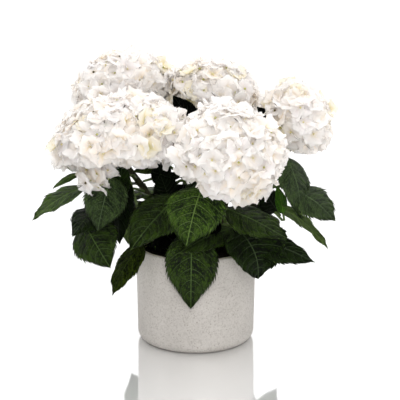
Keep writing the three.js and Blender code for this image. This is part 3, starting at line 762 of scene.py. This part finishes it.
# ------------------------------------------------------------------ the plant
STEMS = {
    "stem_front_left": ([V(-20, -12, SOIL_Z), V(-58, -28, 160), V(-90, -37, 200), V(-99, -40, 245)], (5.4, 3.7)),
    "stem_front_right": ([V(12, -18, SOIL_Z), V(28, -42, 165), V(38, -70, 205), V(42, -92, 240)], (5.4, 3.7)),
    "stem_back": ([V(-2, 8, SOIL_Z), V(-13, 22, 170), V(-10, 40, 228), V(12, 62, 285)], (5.2, 3.5)),
    "stem_right": ([V(24, 0, SOIL_Z), V(58, -2, 162), V(98, 2, 208), V(126, 9, 262)], (5.0, 3.4)),
    "stem_back_left": ([V(-14, 14, SOIL_Z), V(-42, 34, 155), V(-71, 50, 193), V(-99, 70, 232), V(-102, 84, 290)], (5.2, 3.4)),
    "side_shoot": ([V(-86, -36, 196), V(-112, -46, 205), V(-136, -46, 222), V(-144, -44, 236)], (2.9, 2.1)),
}
CANE = {}
for name, (pts, r) in STEMS.items():
    first = []
    if name != "side_shoot":
        d = unit(pts[1] - pts[0])
        first = [pts[0] + V(-d[0] * 4, -d[1] * 4, -16)]
    CANE[name] = curve_points([*first, *pts], 200)


def on_cane(name, height):
    """The point of a cane's middle line at that height."""
    c, _ = CANE[name]
    return c[np.argmin(np.abs(c[:, 2] - height))]


# leaf, by spray: cane, height of its node, base, tip, width, face, and the rest by name
F = {
    "front": [
        ("stem_front_right", 178, V(9, -74, 228), V(-11, -122, 162), 78, V(-0.05, -0.55, 0.83), dict(arch=9, fold=-4, tone="fresh", droop=-2, wave=1.6)),
        ("stem_front_right", 168, V(47, -58, 168), V(-21, -106, 148), 46, V(-0.3, -0.55, 0.8), dict(arch=5, fold=-4, tone="mid")),
        ("stem_front_right", 150, V(-5, -80, 172), V(-6, -107, 75), 68, V(0.0, -0.9, 0.35), dict(arch=8, fold=-8, tone="mid", wave=1.2)),
    ],
    "front_left": [
        ("stem_front_left", 172, V(-20, -45, 207), V(-82, -104, 152), 68, V(-0.25, -0.62, 0.75), dict(arch=7, fold=5, tone="mid", pucker=1.4)),
        ("stem_front_left", 172, V(-97, -22, 228), V(-98, -62, 147), 42, V(-0.35, -0.7, 0.6), dict(arch=8, fold=-8, tone="painted_shade")),
        ("stem_front_left", 142, V(-68, -55, 146), V(-108, -72, 81), 49, V(-0.75, -0.5, 0.2), dict(arch=7, fold=-4, tone="olive")),
        ("stem_front_left", 186, V(-34, -20, 196), V(-46, -30, 232), 34, V(0.0, -0.9, 0.3), dict(arch=3, tone="painted_shade")),
    ],
    "left": [
        ("stem_front_left", 208, V(-107, -54, 236), V(-124, -92, 173), 58, V(-0.1, -0.8, 0.55), dict(arch=7, fold=-7, tone="painted_sheen")),
        ("stem_front_left", 190, V(-117, -38, 193), V(-157, -80, 163), 60, V(-0.45, -0.55, 0.7), dict(arch=7, tone="deep")),
        ("stem_front_left", 178, V(-144, -48, 172), V(-109, -92, 125), 63, V(-0.25, -0.75, 0.5), dict(arch=7, tone="mid")),
        ("stem_front_left", 190, V(-103, -44, 201), V(-92, -54, 259), 28, V(0.15, -0.95, 0.2), dict(arch=5, fold=6, tone="deep")),
    ],
    "left_tip": [
        ("side_shoot", 234, V(-148, -46, 238), V(-183, -58, 220), 15, V(0.1, -0.25, 1), dict(arch=3, tone="fresh", wave=0.8)),
        ("side_shoot", 235, V(-149, -47, 241), V(-150, -54, 257), 8, V(-0.9, -0.3, 0.2), dict(arch=3, tone="fresh", wave=0.6)),
        ("side_shoot", 235, V(-148, -44, 241), V(-143, -44, 257), 8, V(0.9, -0.3, 0.2), dict(arch=3, tone="young", wave=0.6)),
        ("side_shoot", 235, V(-151, -48, 242), V(-164, -54, 248), 6, V(0, -0.3, 1), dict(arch=-2, tone="young", wave=0.5)),
        ("side_shoot", 226, V(-144, -46, 219), V(-209, -68, 181), 40, V(0.05, -0.22, 1), dict(arch=6, fold=4, tone="fresh", wave=2.2)),
    ],
    "front_right": [
        ("stem_front_right", 182, V(39, -77, 199), V(115, -108, 168), 56, V(0.3, -0.5, 0.8), dict(arch=4, tone="mid", pucker=1.5)),
        ("stem_front_right", 160, V(57, -56, 163), V(87, -88, 106), 90, V(0.4, -0.7, 0.5), dict(arch=12, fold=3, curl=0.30, droop=12, tone="deep", pucker=1.4)),
        ("stem_right", 158, V(77, -48, 148), V(153, -72, 126), 54, V(0.2, -0.4, 0.9), dict(arch=5, tone="deep")),
    ],
    "right": [
        ("stem_right", 226, V(119, -8, 250), V(138, -32, 172), 53, V(0.55, -0.6, 0.5), dict(arch=8, tone="painted_sheen")),
        ("stem_right", 206, V(133, -14, 206), V(182, -32, 170), 58, V(0.35, -0.6, 0.7), dict(arch=6, tone="painted_sheen")),
        ("stem_right", 190, V(115, -16, 175), V(106, -18, 214), 17, V(0.3, -0.9, 0.3), dict(arch=3, tone="vivid")),
        ("stem_right", 186, V(108, -8, 176), V(87, -18, 208), 36, V(0.2, -0.9, 0.3), dict(arch=3, tone="painted_shade")),
        ("stem_right", 184, V(106, -9, 185), V(173, -34, 133), 54, V(0.35, 0.5, 0.8), dict(arch=8, fold=0, tone="fresh")),
    ],
    "inner": [
        ("stem_back", 208, V(-48, 20, 231), V(-83, 8, 226), 16, V(-0.1, 0.85, -0.35), dict(arch=-4, fold=3, tone="deep")),
        ("stem_back", 216, V(-58, 4, 217), V(-19, -8, 223), 20, V(0, -0.8, 0.5), dict(arch=5, tone="painted_shade")),
        ("stem_back", 206, V(-40, 2, 212), V(-54, -18, 247), 30, V(0.1, -0.85, 0.4), dict(arch=3, tone="painted_shade")),
        ("stem_back", 212, V(4, 44, 222), V(64, 30, 214), 52, V(0.1, 0.2, 1), dict(arch=6, tone="deep")),
        ("stem_back", 204, V(0, 12, 214), V(28, -30, 204), 54, V(0.1, -0.2, 1), dict(arch=5, tone="deep")),
        ("stem_back", 240, V(2, 10, 282), V(-29, -12, 332), 34, V(0.1, -0.9, 0.4), dict(arch=2, tone="painted_deep_shade")),
        ("stem_right", 240, V(106, -12, 290), V(80, 0, 315), 20, V(-0.1, -0.85, 0.5), dict(arch=2, tone="painted_deep_shade")),
    ],
    "back_left": [
        ("stem_back_left", 190, polar(140, 96, 196), polar(146, 178, 176), 66, V(-0.3, 0.4, 1), dict(arch=8, tone="mid")),
        ("stem_back_left", 180, polar(118, 96, 183), polar(116, 176, 150), 70, V(-0.2, 0.6, 0.9), dict(arch=9, tone="fresh")),
        ("stem_back_left", 168, polar(160, 92, 168), polar(166, 158, 136), 62, V(-0.6, 0.2, 0.8), dict(arch=8, tone="deep")),
        ("stem_back_left", 158, polar(132, 88, 158), polar(132, 138, 96), 68, V(-0.6, 0.7, 0.35), dict(arch=9, tone="mid")),
        ("stem_back_left", 188, V(-96, 22, 196), V(-138, 30, 160), 54, V(-0.7, 0.1, 0.7), dict(arch=7, tone="fresh")),
        ("stem_back_left", 182, V(-90, 2, 192), V(-134, -4, 158), 44, V(-0.7, -0.1, 0.7), dict(arch=6, tone="mid")),
        ("stem_back_left", 162, V(-76, 16, 168), V(-110, 14, 132), 46, V(-0.8, 0.0, 0.6), dict(arch=6, tone="deep")),
        ("stem_back_left", 204, V(-92, 34, 214), V(-136, 44, 190), 50, V(-0.6, 0.1, 0.8), dict(arch=6, tone="mid")),
    ],
    "back": [
        ("stem_back", 196, polar(84, 84, 204), polar(82, 166, 182), 70, V(0, 0.4, 1), dict(arch=8, tone="fresh")),
        ("stem_back", 184, polar(62, 84, 184), polar(58, 160, 142), 68, V(0.3, 0.6, 0.8), dict(arch=9, tone="mid")),
        ("stem_back", 176, polar(104, 78, 176), polar(102, 152, 134), 66, V(-0.1, 0.7, 0.8), dict(arch=9, tone="deep")),
        ("stem_back", 160, polar(82, 84, 160), polar(84, 112, 82), 70, V(0, 0.95, 0.3), dict(arch=9, tone="mid")),
        ("stem_back", 222, polar(70, 84, 226), polar(66, 150, 214), 54, V(0.1, 0.4, 1), dict(arch=6, tone="fresh")),
        ("stem_back", 232, polar(60, 70, 236), polar(50, 116, 228), 48, V(0.1, 0.3, 1), dict(arch=6, tone="mid", seed=901)),
        ("stem_back", 240, V(0, 44, 246), V(-40, 22, 250), 50, V(-0.1, -0.1, 1), dict(arch=4, tone="painted_deep_shade", seed=902)),
    ],
    "back_right": [
        ("stem_right", 208, polar(34, 98, 214), polar(40, 172, 206), 60, V(0.2, 0.4, 1), dict(arch=7, tone="mid")),
        ("stem_right", 164, polar(14, 74, 172), polar(4, 99, 116), 54, V(0.8, 0.1, 0.6), dict(arch=6, tone="deep")),
        ("stem_right", 176, polar(38, 92, 172), polar(36, 142, 112), 66, V(0.7, 0.5, 0.5), dict(arch=9, tone="mid")),
        ("stem_right", 196, polar(54, 92, 200), polar(62, 150, 190), 58, V(0.2, 0.5, 0.9), dict(arch=7, tone="fresh")),
        ("stem_right", 182, V(90, 22, 190), V(132, 44, 150), 50, V(0.7, 0.2, 0.7), dict(arch=7, tone="mid")),
        ("stem_right", 200, V(112, 16, 206), V(150, 34, 172), 46, V(0.7, 0.2, 0.7), dict(arch=6, tone="fresh")),
        ("stem_right", 160, V(84, 14, 168), V(122, 22, 118), 48, V(0.8, 0.1, 0.6), dict(arch=6, tone="deep")),
        ("stem_right", 226, V(108, 18, 236), V(84, 74, 226), 46, V(0.1, 0.2, 1), dict(arch=6, tone="deep", seed=903)),
        ("stem_right", 210, V(86, 30, 226), V(40, 74, 228), 48, V(0.1, 0.3, 1), dict(arch=6, tone="mid", seed=904)),
    ],
}

# inner leaves that fill the plant's dark middle, by a seeded rule: each spray's
# cane bears a few smaller leaves at rising nodes, alternately 20 degrees either side of its bearing and spread further
# at random
FILL = {
    "front": ("stem_front_right", 140, 196, 5, 232, (44, 60), 46),
    "front_left": ("stem_front_left", 140, 176, 4, 250, (40, 56), 44),
    "inner": ("stem_back", 140, 200, 6, 268, (40, 54), 42),
    "front_right": ("stem_right", 136, 168, 4, 290, (36, 48), 40),
    "back": ("stem_back", 140, 186, 4, 80, (46, 60), 48),
    "back_left": ("stem_back_left", 138, 172, 4, 150, (44, 60), 46),
    "back_right": ("stem_right", 134, 180, 4, 40, (44, 58), 46),
}

# higher leaves close under the rear heads, by the same rule: cane, heights of
# the first and last node, how many, bearing, widths
UPPER = {
    "back": ("stem_back", 228, 264, 5, 72, (44, 56)),
    "back_left": ("stem_back_left", 224, 262, 5, 128, (44, 56)),
}

stalks = Soup()
made = {}
seed = 0
for spray, leaves in F.items():
    soup = Soup()
    for cane, node_z, base, tip, width, up, kw in leaves:
        kw = dict(kw)
        tone = kw.pop("tone")
        own = kw.pop("seed", None)
        if own is None:
            seed += 1
        leaf = Leaf(base, tip, width, up, seed=own or seed, **kw)
        leaf.mesh(soup, tone)
        leaf.stalk(stalks, on_cane(cane, node_z))
    if spray in FILL:
        cane, z0, z1, n, bearing, (w0, w1), reach = FILL[spray]
        rng = np.random.default_rng(300 + seed)
        for i in range(n):
            z = z0 + (z1 - z0) * i / max(n - 1, 1)
            root = on_cane(cane, z)
            deg = bearing + rng.uniform(-50, 50) + (i % 2) * 40 - 20
            way = V(math.cos(math.radians(deg)), math.sin(math.radians(deg)), 0)
            width = rng.uniform(w0, w1)
            base = root + way * rng.uniform(12, 20) + V(0, 0, rng.uniform(4, 10))
            tip = base + way * width * rng.uniform(1.0, 1.2) + V(0, 0, rng.uniform(-26, -4))
            tip[2] = max(tip[2], POT_H + 8)
            if not spray.startswith("back"):
                r = max(np.hypot(tip[0], tip[1]), 1.0)
                tip[:2] *= min(1.0, 66.0 / r)
            seed += 1
            leaf = Leaf(base, tip, width, way * 0.5 + V(0, 0, 1), arch=6, fold=rng.uniform(-8, 8), seed=seed)
            # fill leaves in the front and middle get the near-black painted deep shade; those at the back keep a plain
            # deep green
            leaf.mesh(soup, "deep" if spray.startswith("back") else "painted_deep_shade", coarse=not spray.startswith("back"))
            leaf.stalk(stalks, root)
    if spray in UPPER:
        cane, z0, z1, n, bearing, (w0, w1) = UPPER[spray]
        rng = np.random.default_rng(700 + seed)
        for i in range(n):
            root = on_cane(cane, z0 + (z1 - z0) * i / (n - 1))
            deg = bearing + (-58, 46, -18, 62, 10)[i % 5] + rng.uniform(-8, 8)
            way = V(math.cos(math.radians(deg)), math.sin(math.radians(deg)), 0)
            width = rng.uniform(w0, w1)
            base = root + way * rng.uniform(14, 22) + V(0, 0, rng.uniform(2, 8))
            tip = base + way * width * rng.uniform(1.05, 1.25) + V(0, 0, rng.uniform(-24, -10))
            seed += 1
            leaf = Leaf(base, tip, width, way * 0.45 + V(0, 0, 1), arch=7, fold=rng.uniform(-8, 2), seed=seed)
            leaf.mesh(soup, ("mid", "deep", "fresh")[i % 3])
            leaf.stalk(stalks, root)
    ob = soup.build("leaves_" + spray)
    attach(ob, "root")
    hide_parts("foliage_" + spray)
    made[spray] = ob

flower_stalks = Soup()
for name, h in HEADS.items():
    ob = blossom(name, h, flower_stalks)
    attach(ob, "root")
    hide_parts("flower_head_" + name)

for soup, name, slot in ((stalks, "leaf_stalks", "leaf"), (flower_stalks, "flower_stalks", "stem")):
    ob = soup.build(name)
    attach(ob, "root")

# canes, with their bark's relief: rings at the nodes, ridges, leaf scars
for i, (name, (pts, (r0, r1))) in enumerate(STEMS.items()):
    soup = Soup()
    rng = np.random.default_rng(50 + i)
    c, length = CANE[name]
    n, sides = len(c), 20
    t = np.linspace(0, 1, n)[:, None]
    th = np.linspace(0, 2 * math.pi, sides, endpoint=False)[None, :]
    flare = 1.3 * np.exp(-t * 14) if name != "side_shoot" else 0.9 * np.exp(-t * 10)
    nodes = np.linspace(0.16, 0.86, 5 if name != "side_shoot" else 3)
    relief = 0.16 * np.sin(7 * th + 9 * t + i) + 0.14 * np.sin(4 * th - 23 * t) + 0.10 * rng.normal(size=(n, sides))
    for k, at in enumerate(nodes):
        ring = np.exp(-((t - at) * length / 3.2) ** 2)
        scar = np.exp(-((t - at) * length / 2.2) ** 2 - ((np.cos(th - (k % 2) * math.pi / 2) ** 2 - 1) / 0.28) ** 2)
        relief = relief + 0.9 * ring + 1.0 * scar
    tube(soup, BARK, c, (r0 + (r1 - r0) * t + flare)[:, 0], sides, relief * (0.6 if name == "side_shoot" else 1.0))
    ob = soup.build("cane_" + name.replace("stem_", ""))
    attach(ob, "root")
    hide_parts(name)


# ------------------------------------------------------------------------ pot
def pot_piece():
    foot = POT_FOOT_R
    prof = [(0.0, 0.0), (30.0, 0.0), (55.0, 0.0)]
    for a in np.linspace(-90, 0, 13):
        prof.append((foot - POT_FILLET + POT_FILLET * math.cos(math.radians(a)), POT_FILLET + POT_FILLET * math.sin(math.radians(a))))
    lip = POT_LIP / 2
    for z in np.linspace(POT_FILLET + 6, POT_H - lip - 1, 22):
        prof.append((foot + (POT_R - foot) * (z - POT_FILLET) / (POT_H - POT_FILLET), z))
    outer = len(prof)
    # the lip: a nearly flat top between two softened edges, as (share of its width, drop)
    for share, drop in ((0.0, 2.6), (0.04, 1.2), (0.15, 0.35), (0.32, 0.05), (0.5, 0.0), (0.68, 0.05), (0.85, 0.35), (0.96, 1.2), (1.0, 2.6)):
        prof.append((POT_R - POT_LIP * share, POT_H - drop))
    rim = len(prof)
    for z in np.linspace(POT_H - lip - 4, POT_FLOOR + 8, 10):
        prof.append((POT_R - POT_LIP - (POT_WALL - POT_LIP + POT_R - POT_FOOT_R) * (POT_H - z) / (POT_H - POT_FLOOR - 8) * 0.96, z))
    prof += [(POT_FOOT_R - POT_WALL - 3, POT_FLOOR + 2.5), (POT_FOOT_R - POT_WALL - 9, POT_FLOOR), (30.0, POT_FLOOR), (0.0, POT_FLOOR)]
    prof = np.array(prof)
    sides = 144
    th = np.linspace(0, 2 * math.pi, sides, endpoint=False)
    r, z = prof[:, 0][:, None], prof[:, 1][:, None]
    wob = 0.16 * np.sin(3 * th + 0.04 * z) + 0.10 * np.sin(5 * th - 0.07 * z) + 0.07 * np.sin(0.35 * z + th)
    wob = wob * np.clip(r / 40, 0, 1) * np.clip(z / 20, 0, 1)
    rr = r + wob
    verts = np.stack([rr * np.cos(th), rr * np.sin(th), np.broadcast_to(z, rr.shape)], -1)[1:-1]
    n = len(verts)
    uvs = np.stack(np.broadcast_arrays((th / (2 * math.pi))[None, :], np.linspace(0, 1, n)[:, None]), -1)
    soup = Soup()
    q = grid_quads(n, sides, True)
    ring = np.repeat(np.arange(n - 1), sides) + 1
    # the lip's faces take the painted-light rim colour
    body, painted_light_rim = soup.slot(POT_SKIN), soup.slot(RIM_PAINTED_LIGHT)
    qm = np.where((ring >= outer + 2) & (ring < rim + 2), painted_light_rim, body)
    j = np.arange(sides)
    k = (j + 1) % sides
    allv = np.vstack([verts.reshape(-1, 3), [[0, 0, 0]], [[0, 0, POT_FLOOR]]])
    alluv = np.vstack([uvs.reshape(-1, 2), [[0.5, 0]], [[0.5, 1]]])
    tris = np.vstack([np.stack([np.full(sides, n * sides), k, j], 1),
                      np.stack([np.full(sides, n * sides + 1), (n - 1) * sides + j, (n - 1) * sides + k], 1)])
    soup.add(allv, q, tris, POT_SKIN, alluv, qm)
    return soup


ob = pot_piece().build("stoneware_pot")
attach(ob, "root")
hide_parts("pot")


def soil_piece():
    soup = Soup()
    rng = np.random.default_rng(77)
    rings, sides = 46, 96
    r = np.linspace(0, 73.4, rings)[1:]
    th = np.linspace(0, 2 * math.pi, sides, endpoint=False)
    R, T = np.meshgrid(r, th, indexing="ij")
    x, y = R * np.cos(T), R * np.sin(T)
    z = SOIL_Z + 2.0 * lumps(np.stack([x / 40, y / 40, np.full_like(x, 0.3)], -1), 4)
    for f, a in ((0.12, 0.9), (0.27, 0.6), (0.55, 0.4)):
        p = rng.uniform(0, 6.28, 3)
        z = z + a * np.sin(f * x + p[0] + 1.5 * np.sin(f * y + p[1])) * np.sin(f * y * 1.1 + p[2])
    z = z + rng.normal(size=z.shape) * 0.5
    z[-1] -= 2.0
    top = np.stack([x, y, z], -1)
    wall = []
    for zz, rr in ((90.0, 72.6), (50.0, 71.6), (18.0, 70.6), (10.0, 62.0)):
        wall.append(np.stack([rr * np.cos(th), rr * np.sin(th), np.full(sides, zz)], -1))
    rows = np.concatenate([top, np.array(wall)])
    n = len(rows)
    verts = np.vstack([rows.reshape(-1, 3), [[0, 0, z[0].mean()]], [[0, 0, 10.0]]])
    uv = np.vstack([(rows[..., :2] / 160 + 0.5).reshape(-1, 2), [[0.5, 0.5]], [[0.5, 0.5]]])
    q = grid_quads(n, sides, True)[:, ::-1]
    j = np.arange(sides)
    k = (j + 1) % sides
    tris = np.vstack([np.stack([np.full(sides, n * sides), j, k], 1),
                      np.stack([np.full(sides, n * sides + 1), (n - 1) * sides + k, (n - 1) * sides + j], 1)])
    soup.add(verts, q, tris, SOIL_SKIN, uv)
    # crumbs of bark and peat
    for _ in range(420):
        a, rr = rng.uniform(0, 2 * math.pi), 69 * math.sqrt(rng.uniform())
        s = rng.uniform(0.9, 2.6)
        c = V(rr * math.cos(a), rr * math.sin(a), 0)
        i = min(int(rr / 73.4 * (rings - 1)), rings - 2)
        c[2] = z[i, int(a / (2 * math.pi) * sides) % sides] + s * 0.3
        m = np.linalg.qr(rng.normal(size=(3, 3)))[0]
        v = (EYE_V * V(1, rng.uniform(0.5, 1), rng.uniform(0.4, 0.8)) * s) @ m.T + c
        soup.add(v, None, [[0, 5, 4], [5, 2, 4], [2, 6, 4], [6, 1, 4], [1, 8, 4], [8, 3, 4], [3, 7, 4], [7, 0, 4],
                           [5, 0, 2], [6, 2, 1], [8, 1, 3], [7, 3, 0], [9, 2, 0], [9, 1, 2], [9, 3, 1], [9, 0, 3]], SOIL_SKIN, EYE_V[:, :2] * 0.5 + 0.5)
    return soup


ob = soil_piece().build("potting_mix")
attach(ob, "root")
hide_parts("potting_soil")

# ---------------------------------------------------------------------- stage
me = bpy.data.meshes.new("floor")
me.from_pydata([(-8, -8, 0), (8, -8, 0), (8, 8, 0), (-8, 8, 0)], [], [(0, 1, 2, 3)])
floor = bpy.data.objects.new("floor", me)
bpy.context.scene.collection.objects.link(floor)
k = Nodes("floor_white")
k.set(Roughness=0.05, Metallic=0.62)
k.p.inputs["Base Color"].default_value = (0.97, 0.97, 0.97, 1)
k.p.inputs["IOR"].default_value = 1.5
me.materials.append(k.m)
floor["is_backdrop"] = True

world = bpy.data.worlds.new("white_room")
bpy.context.scene.world = world
world.use_nodes = True
wt = world.node_tree
bg = wt.nodes["Background"]
coord = wt.nodes.new("ShaderNodeTexCoord")
split = wt.nodes.new("ShaderNodeSeparateXYZ")
fade = wt.nodes.new("ShaderNodeMapRange")
fade.interpolation_type = "SMOOTHSTEP"
for key, value in (("From Min", -0.35), ("From Max", 0.55), ("To Min", 0.42), ("To Max", 1.15)):
    fade.inputs[key].default_value = value
wt.links.new(coord.outputs["Generated"], split.inputs[0])
wt.links.new(split.outputs["Y"], fade.inputs["Value"])
wt.links.new(fade.outputs["Result"], bg.inputs["Strength"])
bg.inputs["Color"].default_value = (1, 1, 1, 1)


def area(name, where, at, size, power):
    light = bpy.data.lights.new(name, "AREA")
    light.shape = "DISK"
    light.size = size
    light.energy = power
    ob = bpy.data.objects.new(name, light)
    ob.location = where
    ob.rotation_euler = (Vector(at) - Vector(where)).to_track_quat("-Z", "Y").to_euler()
    bpy.context.scene.collection.objects.link(ob)


area("key", (0.05, -1.9, 1.0), (0, 0, 0.2), 0.50, 13.1)
area("side", (1.1, -1.0, 1.3), (0, 0, 0.25), 0.35, 5)

overhead = bpy.data.lights.new("overhead", "SUN")
overhead.energy = 2.45
overhead.angle = math.radians(85)
over_ob = bpy.data.objects.new("overhead", overhead)
over_ob.rotation_euler = Vector((-0.06, 0.10, 1.0)).to_track_quat("Z", "Y").to_euler()
bpy.context.scene.collection.objects.link(over_ob)

cam = bpy.data.cameras.new("camera")
cam.lens, cam.sensor_width = 135.0, 36.0
cam.clip_end = 50
cam_ob = bpy.data.objects.new("camera", cam)
cam_ob.location = (0.0057, -1.9181, 0.6999)
cam_ob.rotation_euler = (math.radians(90 - 14.9), 0, 0)
bpy.context.scene.collection.objects.link(cam_ob)
bpy.context.scene.camera = cam_ob
bpy.context.scene.view_settings.view_transform = "Standard"
bpy.context.scene.view_settings.look = "None"

total = sum(sum(len(p.vertices) - 2 for p in o.data.polygons) for o in bpy.data.objects if o.type == "MESH" and not o.name.startswith("body") and o.name in {x.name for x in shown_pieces()})
print("triangles in all", total)
